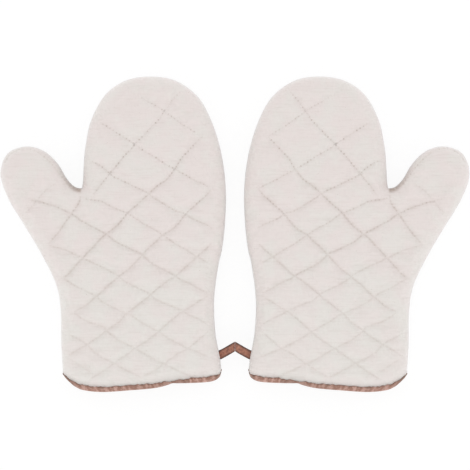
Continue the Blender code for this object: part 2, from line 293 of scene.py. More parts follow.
class Trace:
    """Lines in plan that answer how far a place is from them, sideways and along."""

    def __init__(self, lines, strengths=None):
        fade = LINE_FADE if strengths else SEAM_FADE
        fine = [even(line, TRACE_STEP) for line in lines]
        runs = [runs_of(line) for line in fine]
        self.points = np.vstack(fine)
        self.tangents = np.vstack([directions(line) for line in fine])
        self.runs = np.concatenate(runs)
        self.strength = np.concatenate([
            ramp(np.minimum(run, run[-1] - run), 0, fade) * full
            for run, full in zip(runs, strengths or [1.0] * len(lines))
        ])
        self.tree = tree_of(self.points)

    def near(self, places):
        """Distance, way from the line, run along it, its strength and its direction, at each place."""
        index = np.array([self.tree.find((x, y, 0))[1] for x, y in places[:, :2]])
        tangent = self.tangents[index]
        away = places[:, :2] - self.points[index]
        along = np.sum(away * tangent, axis=1)
        away = away - tangent * np.clip(along, -TRACE_STEP / 2, TRACE_STEP / 2)[:, None]
        return np.linalg.norm(away, axis=1), away, self.runs[index] + along, self.strength[index], tangent

    def off(self, places):
        return self.near(places)[0]


def swaying(line, phase):
    """The line with a slight sway to both sides, as a machine sews it."""
    run = runs_of(line)
    sway = np.sin(run / LONG_SWAY + 1.7 * phase) + 0.6 * np.sin(run / SHORT_SWAY + 4.1 * phase)
    return line + leftward(directions(line)) * (sway * LINE_SWAY)[:, None]


def inside_plan(points):
    """Which points lie inside the outline, by counting the edges to their right."""
    x, y = points[:, 0][:, None], points[:, 1][:, None]
    a, b = outline, np.roll(outline, -1, axis=0)
    crosses = (a[:, 1] > y) != (b[:, 1] > y)
    rise = np.where(b[:, 1] == a[:, 1], 1e-12, b[:, 1] - a[:, 1])
    at = a[:, 0] + (y - a[:, 1]) / rise * (b[:, 0] - a[:, 0])
    return (np.sum(crosses & (at > x), axis=1) % 2) == 1


def cut_to_glove(line):
    """The longest run of the line that keeps its margin inside the glove."""
    good = inside_plan(line) & (edge_trace.off(line) > LINE_MARGIN) & (over_cuff(line) > LINE_MARGIN)
    best, start = (0, 0), None
    for index, flag in enumerate([*good, False]):
        if flag and start is None:
            start = index
        elif not flag and start is not None:
            if index - start > best[1] - best[0]:
                best = (start, index)
            start = None
    return line[best[0]:best[1]]


def crossings(some, others):
    """Where a line of the first kind meets one of the second."""
    found = []
    for one in some:
        for other in others:
            gaps = np.linalg.norm(one[:, None] - other[None], axis=2)
            place = np.unravel_index(np.argmin(gaps), gaps.shape)
            if gaps[place] < CROSSING_REACH:
                found.append(one[place[0]])
    return found


edge_trace = Trace([side_seam])
thumb_seam = smooth_path(from_photo(THUMB_SEAM_PX), PATH_STEP)
thumb_trace = Trace([thumb_seam])
quilt_lines = []
for number, (_, points) in enumerate(RISING_LINES_PX + FALLING_LINES_PX):
    path = smooth_path(longer(from_photo(points), LINE_EXTENSION), PATH_STEP)
    quilt_lines.append(cut_to_glove(swaying(path, number)))
quilt_trace = Trace(quilt_lines, [strength for strength, _ in RISING_LINES_PX + FALLING_LINES_PX])
crossing_tree = tree_of(crossings(quilt_lines[:len(RISING_LINES_PX)], quilt_lines[len(RISING_LINES_PX):]))
total = sum(np.sum(np.linalg.norm(np.diff(line, axis=0), axis=1)) for line in quilt_lines)
print(len(quilt_lines), "stitch lines,", round(total, 2), "m of them in each face of a glove")

# %% [markdown]
# Every layer of a glove follows one curve: from the side seam its face rises in
# a quarter turn and then runs level. A place in the plan and a depth in the
# wall give a point. Between the stitch lines the cotton swells into pillows,
# which die out towards the seam.
# %% The layers' shape
WALL = 6.0 * MM
PAD_DEPTH = 4.9 * MM
LINING_DEPTH = 5.2 * MM
ON_SEAM = 0.05 * MM
BELOW_CUFF = 20 * MM
PILLOW_RISE = 2.5 * MM
UNDER_PILLOW_RISE = 1.9 * MM
STEEP_REACH = 2.0 * MM
WIDE_REACH = 6.5 * MM
STEEP_SHARE = 0.6
EDGE_SWELL = 0.22
SWELL_SPAN = (1.5 * MM, 15 * MM)
FLAT_EDGE = 2 * MM
THUMB_SEAM_DEPTH = 0.8 * MM
THUMB_SEAM_REACH = 1.4 * MM
THUMB_SEAM_SPAN = (1 * MM, 4 * MM)
CUFF_SPAN = (3 * MM, 14 * MM)
CUFF_PINCH = 1.1 * MM
PINCH_SPAN = (4.5 * MM, 9 * MM)
CUFF_GATHER = 0.30 * MM
GATHER_HEIGHT = 7 * MM
GATHER_REACH = 4 * MM
FINE_GATHER = 0.66 * MM
SLOW_GATHER = 1.37 * MM
GATHER_CHANGE = 3.7 * MM
GATHER_DRIFTS = (6.1 * MM, 11.3 * MM, 17 * MM)
UP, DOWN = 1, -1
FACES = ((UP, "front"), (DOWN, "back"))

start, end = side_seam[0], side_seam[-1]
below = np.array([0, BELOW_CUFF])
seam_trace = Trace([np.vstack([
    even([start - below, start], PATH_STEP)[:-1], side_seam, even([end, end - below], PATH_STEP)[1:],
])])


def layer(places, depth, side, lift=0.0):
    """Points of a layer at its depth in the front (UP) or back (DOWN), with height over the seam."""
    distance, away, _, _, tangent = seam_trace.near(places)
    share = np.clip(distance / EDGE_ROUND, 0, 1)
    inward = np.where(
        distance[:, None] > ON_SEAM, away / np.maximum(distance, 1e-9)[:, None], -leftward(tangent),
    )
    plan = places[:, :2] + inward * (depth * (1 - share))[:, None]
    rise = FRONT_RISE if side == UP else BACK_RISE
    height = HALF_SEAM_GAP + (rise - depth) * np.sqrt(np.maximum(0, 1 - (1 - share) ** 2))
    return np.column_stack([plan, (height + lift) * side])


def gathers(run, phase):
    """The uneven small gathers of sewn cloth along a run, from about -1 to 1."""
    near, middle, far = GATHER_DRIFTS
    fine = np.sin(run / FINE_GATHER + 3.4 * np.sin(run / near + phase))
    slow = np.sin(run / SLOW_GATHER + 2.1 * np.sin(run / middle) + 1.9 * phase)
    share = 0.5 + 0.5 * np.sin(run / GATHER_CHANGE + 2.3 * np.sin(run / far + phase))
    return 0.75 * share * fine + (0.8 - 0.5 * share) * slow


def pillow(places, rise):
    """How far the cotton stands out of the level that its stitches hold it to."""
    distance, up = seam_trace.off(places), over_cuff(places)
    off, _, _, strength, _ = quilt_trace.near(places)
    hold = STEEP_SHARE * np.exp(-off / STEEP_REACH) + (1 - STEEP_SHARE) * bell(off, WIDE_REACH)
    swell = rise * (1 - np.minimum(strength, 1) * hold)
    swell *= EDGE_SWELL + (1 - EDGE_SWELL) * ramp(distance, *SWELL_SPAN)
    on_thumb = bell(thumb_trace.off(places), THUMB_SEAM_REACH)
    swell -= THUMB_SEAM_DEPTH * on_thumb * ramp(distance, *THUMB_SEAM_SPAN)
    swell *= ramp(up, *CUFF_SPAN)
    gathered = gathers(1.3 * places[:, 0] + 0.25 * up, 3)
    swell += CUFF_GATHER * gathered * bell(up - GATHER_HEIGHT, GATHER_REACH)
    swell -= CUFF_PINCH * (1 - ramp(up, *PINCH_SPAN))
    return swell * ramp(distance, 0, FLAT_EDGE)


# %% [markdown]
# The cloth is meshed in its plan, with more points where its edge turns over
# and along the stitch lines.
# %% The cloth's mesh in plan
RING_DISTANCES = (0.5 * MM, 1.3 * MM, 2.6 * MM, 4.4 * MM, 6.6 * MM, 9.0 * MM)
RING_TRUE = 0.93
RING_GAP = 1.2 * MM
LINE_STEP = 2.2 * MM
LINE_GAP = 1.0 * MM
FLANK = 1.5 * MM
FLANK_GAP = 1.1 * MM
CLOTH_GRID = 2.7 * MM
CLOTH_GAP = 1.7 * MM
LINING_GRID = 4 * MM
LINING_GAP = 3 * MM
HEXAGON_ROW = 0.866
SEAM_CLEAR = 0.4 * MM
CUFF_CLEAR = 0.7 * MM
CELL = 1.5 * MM


def hexagons(pitch):
    """Points over the whole outline, each row half a pitch off the next."""
    low, high = outline.min(axis=0), outline.max(axis=0)
    rows = np.arange(low[1], high[1], pitch * HEXAGON_ROW)
    return np.array([
        (x, y)
        for number, y in enumerate(rows)
        for x in np.arange(low[0] + (number % 2) * pitch / 2, high[0], pitch)
    ])


def apart(groups):
    """The points of all groups in turn, without those that come too near an earlier one."""
    kept, cells = [], {}
    for points, least in groups:
        for point in points:
            key = (int(point[0] // CELL), int(point[1] // CELL))
            near = [
                other
                for i in (-1, 0, 1) for j in (-1, 0, 1)
                for other in cells.get((key[0] + i, key[1] + j), ())
            ]
            if all((point[0] - o[0]) ** 2 + (point[1] - o[1]) ** 2 > least**2 for o in near):
                kept.append(point)
                cells.setdefault(key, []).append(point)
    return np.array(kept)


def triangulated(groups):
    """Plan points and triangles of the groups' points that lie in the outline, outline first."""
    inner = []
    for points, least in groups:
        clear = (seam_trace.off(points) > SEAM_CLEAR) & (over_cuff(points) > CUFF_CLEAR)
        inner.append((points[inside_plan(points) & clear], least))
    points = apart([(outline, 0.0), *inner])
    count = len(outline)
    edges = [(index, (index + 1) % count) for index in range(count)]
    made = geometry.delaunay_2d_cdt([Vector(p) for p in points], edges, [], 1, 1e-7)
    points = np.array([tuple(p) for p in made[0]])
    flat = []
    for triangle in made[2]:
        a, b, c = (points[i] for i in triangle)
        turn = (b[0] - a[0]) * (c[1] - a[1]) - (b[1] - a[1]) * (c[0] - a[0])
        flat.append(tuple(triangle) if turn > 0 else tuple(triangle)[::-1])
    return points, flat


rings = []
for distance in RING_DISTANCES:
    ring = side_seam - leftward(directions(side_seam)) * distance
    ring = ring[seam_trace.off(ring) > RING_TRUE * distance]
    rings.append((ring, min(RING_GAP, distance)))
on_lines = [even(line, LINE_STEP) for line in quilt_lines]
flanks = [line + leftward(directions(line)) * way * FLANK for line in on_lines for way in (1, -1)]
on_lines.append(even(thumb_seam, LINE_STEP))
cloth_plan, cloth_faces = triangulated([
    (np.vstack(on_lines), LINE_GAP), *rings,
    (np.vstack(flanks), FLANK_GAP), (hexagons(CLOTH_GRID), CLOTH_GAP),
])
lining_plan, lining_faces = triangulated([*rings[2::2], (hexagons(LINING_GRID), LINING_GAP)])
print("cloth of", len(cloth_faces), "triangles, lining of", len(lining_faces))

# %% [markdown]
# The cotton is simulated as cloth that is held at its seams and stitches and
# pushed outwards by its padding. It is cut a little larger than it lies, which
# gives the small wrinkles between the stitches.
# %% Cloth simulation
SIM_FRAMES = 18
CLOTH_SETTINGS = {
    "quality": 6, "mass": 0.002, "vertex_group_mass": "held", "pin_stiffness": 1,
    "tension_stiffness": 8, "compression_stiffness": 8, "shear_stiffness": 3,
    "bending_stiffness": 0.02, "air_damping": 2, "shrink_min": -0.035,
    "use_pressure": True, "uniform_pressure_force": 3.0,
}
MOST_SHIFT = 1.7 * MM
SEAM_HOLD = 0.8 * MM
STITCH_HOLD = 0.6 * MM
CUFF_HOLD = 6 * MM
OVER_TABLE = 0.05 * MM


def mesh_object(name, points, faces):
    """A smooth mesh object."""
    data = bpy.data.meshes.new(name)
    data.from_pydata([tuple(p) for p in points], [], [tuple(f) for f in faces])
    data.shade_smooth()
    return in_scene(name, data)


def discard(made):
    """Takes a helper object and its mesh away."""
    data = made.data
    bpy.data.objects.remove(made)
    bpy.data.meshes.remove(data)


def evaluated(made):
    return made.evaluated_get(bpy.context.evaluated_depsgraph_get())


def vertex_places(data):
    places = np.empty(len(data.vertices) * 3)
    data.vertices.foreach_get("co", places)
    return places.reshape(-1, 3)


def turned(faces, side):
    """The faces as they are for the front, and the other way round for the back."""
    return faces if side == UP else [face[::-1] for face in faces]


def puffed(points, faces, held, label):
    """The points after the cloth has settled between the places that hold it."""
    made = mesh_object("cloth_" + label, points, faces)
    group = made.vertex_groups.new(name="held")
    group.add([int(index) for index in np.flatnonzero(held)], 1.0, "REPLACE")
    cloth = made.modifiers.new("cloth", "CLOTH")
    for name, value in CLOTH_SETTINGS.items():
        setattr(cloth.settings, name, value)
    cloth.settings.effector_weights.gravity = 0
    cloth.collision_settings.use_collision = False
    cloth.point_cache.frame_start = 1
    cloth.point_cache.frame_end = SIM_FRAMES
    for frame_number in range(1, SIM_FRAMES + 1):
        bpy.context.scene.frame_set(frame_number)
    after = vertex_places(evaluated(made).data)
    bpy.context.scene.frame_set(1)
    discard(made)
    return after


def settled_cloth(side, word):
    """The outer surface of the left glove's front or back, with height over the seam."""
    rise = PILLOW_RISE if side == UP else UNDER_PILLOW_RISE
    points = layer(cloth_plan, 0, side, pillow(cloth_plan, rise))
    faces = turned(cloth_faces, side)
    held = (seam_trace.off(cloth_plan) < SEAM_HOLD) | (over_cuff(cloth_plan) < CUFF_HOLD)
    for trace in (quilt_trace, thumb_trace):
        held |= trace.off(cloth_plan) < STITCH_HOLD
    shift = puffed(points, faces, held, word) - points
    size = np.linalg.norm(shift, axis=1)
    shift *= (MOST_SHIFT * np.tanh(size / MOST_SHIFT) / np.maximum(size, 1e-9))[:, None]
    points = points + shift
    points[:, 2] += SEAM_HEIGHT
    if side == DOWN:
        points[:, 2] = np.maximum(points[:, 2], OVER_TABLE)
    print(word, "lies from z", points[:, 2].min().round(5), "to", points[:, 2].max().round(5))
    return points, faces


cloth_points = {side: settled_cloth(side, word) for side, word in FACES}

# %% [markdown]
# A padded face is the settled cotton, divided once more, and an inner surface
# at the padding's depth, closed along the seam and the cuff. The lining is a
# thin sheet just inside it. Each point also keeps what the cotton's shader asks:
# how far it is from a stitch line, how much shade is painted into the groove
# and its needle holes at that height of the photograph, and how much painted
# shadow lies by the thumb's crotch.
# %% Padded faces
GLOVE_PLACE = np.array([GLOVE_X, GLOVE_Y, 0])
LIFTED_PLACE = GLOVE_PLACE + (0, 0, SEAM_HEIGHT)
HANDS = (("left", 1), ("right", -1))
LINING_SWELL = 0.7 * MM
LINING_REACH = 4 * MM
LINING_EDGE_SPAN = (3 * MM, 14 * MM)
LINING_CUFF_SPAN = (6 * MM, 14 * MM)
# How much shade is painted into the stitch grooves and needle holes at each height, and on the thumb's seam.
GROOVES_BY_HEIGHT_PX = (
    (70, 0.18), (130, 0.24), (158, 0.42), (175, 0.80), (195, 1.05), (240, 1.12), (290, 0.95),
    (340, 0.80), (390, 0.72),
)
HOLES_BY_HEIGHT_PX = ((70, 1.0), (160, 1.0), (185, 0.6), (240, 0.35), (300, 0.2), (390, 0.15))
WIDTHS_BY_HEIGHT_PX = ((70, 1.0), (200, 1.0), (300, 1.15), (390, 1.3))
FAR_OFF = 1.0
THUMB_GROOVE = 0.5
THUMB_HOLE = 0.6
CROSSING_OPENS = 0.6
CROSSING_SPREAD = 1.6 * MM
# Reach and width of the shadow painted by the thumb's crotch.
CROTCH_REACHES = ((0.55, 30 * MM), (0.45, 12 * MM))
SHADE_EDGE = 0.3 * MM
SHADE_WIDTH = 4.0
SHADE_WIDENS = 3.0
SHADE_WIDENS_REACH = 10 * MM
THUMB_SIDE_SPAN = (-1.5 * MM, 0.5 * MM)


def border_of(faces):
    """The open border's vertices in order, as the faces run."""
    directed = {(a, b) for face in faces for a, b in zip(face, face[1:] + face[:1])}
    after = {a: b for a, b in directed if (b, a) not in directed}
    loop = [min(after)]
    while after[loop[-1]] != loop[0]:
        loop.append(after[loop[-1]])
    return loop


def divided(points, faces):
    """The surface divided once, smoothly."""
    made = mesh_object("dividing", points, faces)
    finer = made.modifiers.new("finer", "SUBSURF")
    finer.levels = finer.render_levels = 1
    finer.boundary_smooth = "PRESERVE_CORNERS"
    result = evaluated(made).data
    new_points = vertex_places(result)
    new_faces = [tuple(polygon.vertices) for polygon in result.polygons]
    discard(made)
    return new_points, new_faces


def closed_between(outer, outer_faces, inner, inner_faces):
    """One closed surface: a border edge of the inner one meets one or more of the outer."""
    outer_loop, inner_loop = border_of(outer_faces), border_of(inner_faces)
    first = np.argmin(np.linalg.norm(outer[outer_loop] - inner[inner_loop[0]], axis=1))
    outer_loop = outer_loop[first:] + outer_loop[:first]
    shift = len(outer)
    faces = list(outer_faces)
    faces += [tuple(index + shift for index in face[::-1]) for face in inner_faces]
    count, times = len(inner_loop), len(outer_loop) // len(inner_loop)
    for number in range(count):
        along = [outer_loop[(times * number + step) % len(outer_loop)] for step in range(times + 1)]
        a, b = inner_loop[number] + shift, inner_loop[(number + 1) % count] + shift
        faces.append((*along[::-1], a, b))
    return np.vstack([outer, inner]), faces


def add_piece(name, points, faces, hand, body, values=None):
    """A closed piece of the left or the right glove: the right one is mirrored."""
    made = mesh_object(name, points * (hand, 1, 1), faces)
    mesh = bmesh.new()
    mesh.from_mesh(made.data)
    bmesh.ops.recalc_face_normals(mesh, faces=mesh.faces)
    if mesh.calc_volume(signed=True) < 0:
        bmesh.ops.reverse_faces(mesh, faces=mesh.faces)
    mesh.to_mesh(made.data)
    mesh.free()
    made.data.shade_smooth()
    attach(made, body)
    for attribute_name, numbers in (values or {}).items():
        attribute = made.data.attributes.new(attribute_name, "FLOAT", "POINT")
        attribute.data.foreach_set("value", np.asarray(numbers, np.float32))
    return made


def cloth_values(points, outer_count):
    """What the cotton's shader asks of each point of a padded face."""
    places = points[:, :2] - GLOVE_PLACE[:2]
    off, _, run, strength, _ = quilt_trace.near(places)
    seam_off, _, seam_run, _, _ = thumb_trace.near(places)
    on_thumb = seam_off < off
    row = FOOT_PX - places[:, 1] / GLOVE_LENGTH * LENGTH_PX
    grooves, holes, widths = (
        np.interp(row, *np.array(table).T)
        for table in (GROOVES_BY_HEIGHT_PX, HOLES_BY_HEIGHT_PX, WIDTHS_BY_HEIGHT_PX)
    )
    off_crossing = np.array([crossing_tree.find((x, y, 0))[2] for x, y in places])
    open_crossing = 1 - CROSSING_OPENS * bell(off_crossing, CROSSING_SPREAD)
    # Painted shadow where the thumb's edge turns under at the crotch, on the thumb's side only.
    off_crotch = np.linalg.norm(places - crotch, axis=1)
    near_crotch = sum(share * bell(off_crotch, reach) for share, reach in CROTCH_REACHES)
    shade_end = (SHADE_WIDTH + SHADE_WIDENS * bell(off_crotch, SHADE_WIDENS_REACH)) * MM
    near_edge = 1 - ramp(seam_trace.off(places), SHADE_EDGE, shade_end)
    beside_thumb = 1 - ramp(places[:, 0] - crotch[0], *THUMB_SIDE_SPAN)
    outer = np.arange(len(points)) < outer_count
    # groove_shadow and hole_shadow carry the strength of the shade painted into the grooves and needle holes.
    return {
        "stitch_run": np.where(on_thumb, seam_run, run),
        "stitch_off": np.where(outer, np.where(on_thumb, seam_off, off / widths), FAR_OFF),
        "groove_shadow": np.where(on_thumb, THUMB_GROOVE, strength * grooves * open_crossing),
        "hole_shadow": np.where(on_thumb, THUMB_HOLE, np.minimum(1, 1.4 * strength) * holes),
        "painted_crotch_shadow": near_crotch * near_edge * beside_thumb,
    }


covers, linings, outer_surface = [], [], {}
for side, face_word in FACES:
    outer, outer_faces = divided(*cloth_points[side])
    outer = outer + GLOVE_PLACE
    inner_faces = turned(lining_faces, side)
    inner = layer(lining_plan, PAD_DEPTH, side) + LIFTED_PLACE
    pad_points, pad_faces = closed_between(outer, outer_faces, inner, inner_faces)
    pad_values = cloth_values(pad_points, len(outer))
    outer_surface[side] = BVHTree.FromPolygons([Vector(p) for p in outer], outer_faces)
    off, _, _, strength, _ = quilt_trace.near(lining_plan)
    loose = ramp(seam_trace.off(lining_plan), *LINING_EDGE_SPAN) * (1 - bell(off, LINING_REACH) * strength)
    loose *= ramp(over_cuff(lining_plan), *LINING_CUFF_SPAN)
    skins = [
        layer(lining_plan, depth, side, -LINING_SWELL * loose) + LIFTED_PLACE
        for depth in (LINING_DEPTH, WALL)
    ]
    sheet_points, sheet_faces = closed_between(skins[0], inner_faces, skins[1], inner_faces)
    corners = skins[0][np.array(inner_faces)]
    crossed = np.cross(corners[:, 1] - corners[:, 0], corners[:, 2] - corners[:, 0])
    for word, hand in HANDS:
        cover = add_piece(f"{word}_quilted_{face_word}", pad_points, pad_faces, hand,
                          f"{word}_glove", pad_values)
        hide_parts(f"{word}_{face_word}_panel", f"{word}_{face_word}_batting")
        covers.append(cover)
    for word, hand in HANDS:
        lining = add_piece(f"{word}_lining_{face_word}", sheet_points, sheet_faces, hand,
                           f"{word}_glove")
        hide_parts(f"{word}_{face_word}_lining")
        linings.append(lining)

# %% [markdown]
# The cuff's binding is a tape folded over the edge of all the layers. It goes
# round the whole mouth, and its upper edge is drawn in unevenly by its stitches.
# Its width and how much darker it is at places along the cuff were read in the
# photograph.
# %% Cuff binding
BINDING_THICKNESS = 0.9 * MM
BINDING_GAP = 0.3 * MM
BINDING_FOOT = 1.7 * MM
SIDE_PINCH = CUFF_PINCH * 0.9
LEAST_BAND = 0.4 * MM
INNER_BAND = 5.0 * MM
MOUTH_STEP = 0.9 * MM
TURN_POINTS = 15
SEAM_POINTS_BY_CUFF = 40
RIPPLE = 0.20 * MM
RIPPLE_SLANT = 1.4 * MM
PUCKER = 0.45 * MM
BAND_WIDTHS_PX = (
    (62, 1.6), (65, 2.6), (70, 3.8), (76, 4.6), (83, 5.5), (88, 5.3), (106, 5.3), (130, 5.4),
    (146, 5.4), (154, 4.7), (163, 4.9), (168, 3.6), (171.5, 1.7), (176, 3.0), (180, 4.0),
    (189, 4.3), (190.5, 5.4), (198, 5.6), (207, 5.2), (213, 6.2), (217, 5.0), (220, 2.6), (222, 1.6),
)
BAND_SHADES_PX = (
    (62, 0.9), (72, 0.85), (78, 0.35), (92, 0.1), (104, 0.3), (118, 0.15), (140, 0.35), (152, 0.35),
    (168, 0.6), (174, 0.75), (189, 0.8), (190.5, 0.1), (212, 0.2), (222, 0.9),
)
OUTER_LEG = ((1.0, 0.35), (0.97, 0.75), (0.85, 1.0), (0.55, 1.15), (0.25, 1.1), (0.0, 1.0))
INNER_LEG = ((0.0, 1.0), (0.5, 1.1), (0.9, 0.95), (1.0, 0.4), (1.0, 0.0))
FOOT_STEPS = 12
FOOT_POWER = 2.6
CORE_DROP = 0.3 * MM
CORE_MIDDLE_DROP = 0.55 * MM


def along_cuff(table, x):
    """The table's value at each place across the cuff."""
    columns, values = np.array(table).T
    return np.interp(x, across_from_photo(columns), values)


def mouth_places():
    """Column, turn, hand and run of each place round half of the mouth, from seam to seam."""
    turn = np.linspace(0, pi / 2, TURN_POINTS)
    first, last = cuff_edge[0, 0], cuff_edge[-1, 0]
    corner = EDGE_ROUND * (1 - np.cos(turn))
    level = np.arange(first + EDGE_ROUND, last - EDGE_ROUND, MOUTH_STEP)[1:-1]
    angles = np.concatenate([turn, np.full(len(level), pi / 2), turn[::-1]])
    columns = np.concatenate([first + corner, level, last - corner[::-1]])
    hands = np.concatenate([np.full(TURN_POINTS, -1.0), np.zeros(len(level)), np.full(TURN_POINTS, 1.0)])
    quarter = EDGE_ROUND * pi / 2
    run = np.concatenate([EDGE_ROUND * turn, quarter + level - level[0],
                          2 * quarter + level[-1] - level[0] - EDGE_ROUND * turn[::-1]])
    return columns, angles, hands, run


mouth_x, mouth_turn, mouth_hand, mouth_run = mouth_places()


def seam_lean(level, hand):
    """How far the side seam leans outwards from the cuff's end, at this level by the cuff."""
    part = side_seam[:SEAM_POINTS_BY_CUFF] if hand < 0 else side_seam[-SEAM_POINTS_BY_CUFF:][::-1]
    return np.interp(level, part[:, 1], part[:, 0]) - cuff_edge[0 if hand < 0 else -1, 0]


def mouth_line(depth, height, side):
    """Points round half of the mouth at a depth in its wall, at a height over the cuff's edge."""
    depth = np.broadcast_to(depth, mouth_x.shape)
    rise = FRONT_RISE if side == UP else BACK_RISE
    level = cuff_level(mouth_x) + height
    lean = np.where(mouth_hand > 0, seam_lean(level, 1), seam_lean(level, -1))
    outward = np.cos(mouth_turn)
    x = mouth_x - mouth_hand * depth * outward + lean * outward * np.abs(mouth_hand)
    z = (HALF_SEAM_GAP + (rise - depth) * np.sin(mouth_turn)) * side
    return np.column_stack([x, level, z])


def band_top(side):
    """How high the binding's upper edge stands over the cuff's edge, with its puckers."""
    top = along_cuff(BAND_WIDTHS_PX, mouth_x) * PIXEL - BINDING_FOOT
    return np.maximum(LEAST_BAND, top + PUCKER * gathers(mouth_run * 0.8, side))


def binding_section(top):
    """Depth, height, share of the height and bulge of the section's corners, from the outer upper edge."""
    near, far = -BINDING_GAP, -(BINDING_GAP + BINDING_THICKNESS)
    section = [
        (near + (far - near) * swell + SIDE_PINCH, top * share, share, -swell) for share, swell in OUTER_LEG
    ]
    middle, half = WALL / 2, WALL / 2 + BINDING_GAP + BINDING_THICKNESS
    for step in range(1, FOOT_STEPS):
        across = -cos(pi * step / FOOT_STEPS)
        drop = (1 - abs(across) ** FOOT_POWER) ** (1 / FOOT_POWER)
        pinch = SIDE_PINCH * (1 - across) / 2
        section.append((middle + half * across + pinch, -BINDING_FOOT * drop, -0.4 * drop, across))
    section += [
        (WALL - near + (near - far) * swell, INNER_BAND * share, share, swell) for share, swell in INNER_LEG
    ]
    section += [
        (WALL - near, -CORE_DROP, 1.0, 0.0), (middle, -CORE_MIDDLE_DROP, 1.0, 0.0),
        (near + SIDE_PINCH, -CORE_DROP, 1.0, 0.0), (near + SIDE_PINCH, top, 1.0, 0.0),
    ]
    return section


def ring_faces(count, around):
    """The faces of rings with this many points each, the last ring joined to the first."""
    return [
        (i * around + j, i * around + (j + 1) % around,
         (i + 1) % count * around + (j + 1) % around, (i + 1) % count * around + j)
        for i in range(count) for j in range(around)
    ]


def binding_surface():
    """The binding of the left glove as a closed surface in world space."""
    rows, band_up, ripples = [], [], []
    sections = {side: np.array([binding_section(top) for top in band_top(side)]) for side in (UP, DOWN)}
    for corner in range(sections[UP].shape[1]):
        halves, waves = [], []
        for side in (UP, DOWN):
            depth, height, up, bulge = sections[side][:, corner].T
            wave = gathers(mouth_run + RIPPLE_SLANT * up, 2 + side)
            halves.append(mouth_line(depth + RIPPLE * bulge * wave, height, side))
            waves.append(wave)
        seam = [(halves[0][k] + halves[1][k]) / 2 for k in (0, -1)]
        rows.append(np.vstack([seam[0], halves[0][1:-1], seam[1], halves[1][-2:0:-1]]))
        band_up.append(np.full(len(rows[-1]), up[0]))
        ripples.append(np.concatenate([waves[0], waves[1][-2:0:-1]]))
    points = np.vstack(rows) + LIFTED_PLACE
    around_run = np.concatenate([mouth_run, mouth_run[-2:0:-1] + mouth_run[-1]])
    return points, ring_faces(len(rows), len(rows[0])), {
        "band_up": np.concatenate(band_up), "band_ripple": np.concatenate(ripples),
        "band_run": np.tile(around_run, len(rows)),
        "band_shade": along_cuff(BAND_SHADES_PX, points[:, 0] - GLOVE_X),
    }


binding_points, binding_faces, band_values = binding_surface()
bindings = []
for word, hand in HANDS:
    binding = add_piece(f"{word}_bound_edge", binding_points, binding_faces, hand,
                        f"{word}_glove", band_values)
    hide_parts(f"{word}_cuff_binding")
    bindings.append(binding)
print("binding of", len(binding_faces), "faces")

# %% [markdown]
# The hanging loop is a tape folded double. It is sewn into the side seam and
# swings there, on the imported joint.
# %% Hanging loop
LOOP_PIVOT = np.array([-13.373 * MM, -112.713 * MM])
LOOP_OUTWARD = np.array([0.98182, 0.18982])
PAIR_GAP = 0.05 * MM
LOOP_SAG = 0.85 * MM
LOOP_ARCH = 1.55 * MM
LOOP_FLARE = 0.05
LOOP_ROOT = 1.1 * MM
LOOP_LIFT = radians(14)
LOOP_STEP = 0.8 * MM
FOLD_STEPS = 28
ROOT_STEPS = 8
# Where along the loop the painted highlight at the fold's tip begins and ends.
FOLD_HIGHLIGHT_SPAN = (0.93, 1.0)
TAPE_WIDTH = 8.6 * MM
TAPE_THICKNESS = 0.8 * MM
TAPE_GAP = 0.3 * MM
FOLD_RADIUS = 4.6 * MM
TAPE_SECTION = (
    (-1.0, 0.45), (-0.97, 0.9), (-0.9, 1.0), (-0.72, 0.86), (-0.4, 1.0), (0, 1.0), (0.4, 1.0),
    (0.72, 0.86), (0.9, 1.0), (0.97, 0.9), (1.0, 0.45),
)


def loop_line(reach):
    """The folded tape's middle line from the side, with its outward direction."""
    fold = FOLD_RADIUS - TAPE_THICKNESS / 2
    root = (TAPE_THICKNESS + TAPE_GAP) / 2
    middle = reach - FOLD_RADIUS
    flare = asin((fold - root) / (middle + LOOP_ROOT))
    line = []
    for place, radius, turn, first, steps in (
        (middle, fold, pi + 2 * flare, pi / 2 + flare, FOLD_STEPS),
        (-LOOP_ROOT, root, pi - 2 * flare, flare - pi / 2, ROOT_STEPS),
    ):
        for step in range(steps + 1):
            angle = first - turn * step / steps
            line.append((place + radius * cos(angle), radius * sin(angle), cos(angle), sin(angle)))
    fine = []
    for here, there in zip(line, line[1:] + line[:1]):
        steps = max(1, int(round(np.hypot(there[0] - here[0], there[1] - here[1]) / LOOP_STEP)))
        for step in range(steps):
            x, z, nx, nz = (a + (b - a) * step / steps for a, b in zip(here, there))
            size = np.hypot(nx, nz)
            fine.append((x, z, nx / size, nz / size))
    return fine


def loop_surface():
    """The left glove's loop as a closed surface in world space."""
    reach = abs(LOOP_PIVOT[0] + PAIR_GAP / 2) / LOOP_OUTWARD[0]
    slope = LOOP_OUTWARD[1] / LOOP_OUTWARD[0]
    sideways = np.array([-LOOP_OUTWARD[1], LOOP_OUTWARD[0]])
    section = [(across * TAPE_WIDTH / 2, out * TAPE_THICKNESS / 2) for across, out in TAPE_SECTION]
    section += [(across, -out) for across, out in section[::-1]]
    line = loop_line(reach)
    points, values, run = [], [], 0.0
    for number, (x, z, nx, nz) in enumerate(line):
        if number:
            run += np.hypot(x - line[number - 1][0], z - line[number - 1][1])
        for across, out in section:
            px, pz = x + nx * out, z + nz * out
            share = max(0.0, px / reach)
            y = across * (1 + LOOP_FLARE * share**2) + px * sin(LOOP_LIFT) - LOOP_SAG
            y += LOOP_ARCH * share**1.5
            px *= 1 + y * slope / reach
            points.append((*(LOOP_PIVOT + LOOP_OUTWARD * px + sideways * y), SEAM_HEIGHT + pz))
            # The last value is the share of the painted highlight at the fold's tip.
            values.append((run, across, ramp(share, *FOLD_HIGHLIGHT_SPAN)))
    named = dict(zip(("tape_run", "tape_across", "fold_highlight"), np.array(values).T))
    return np.array(points), ring_faces(len(line), len(section)), named


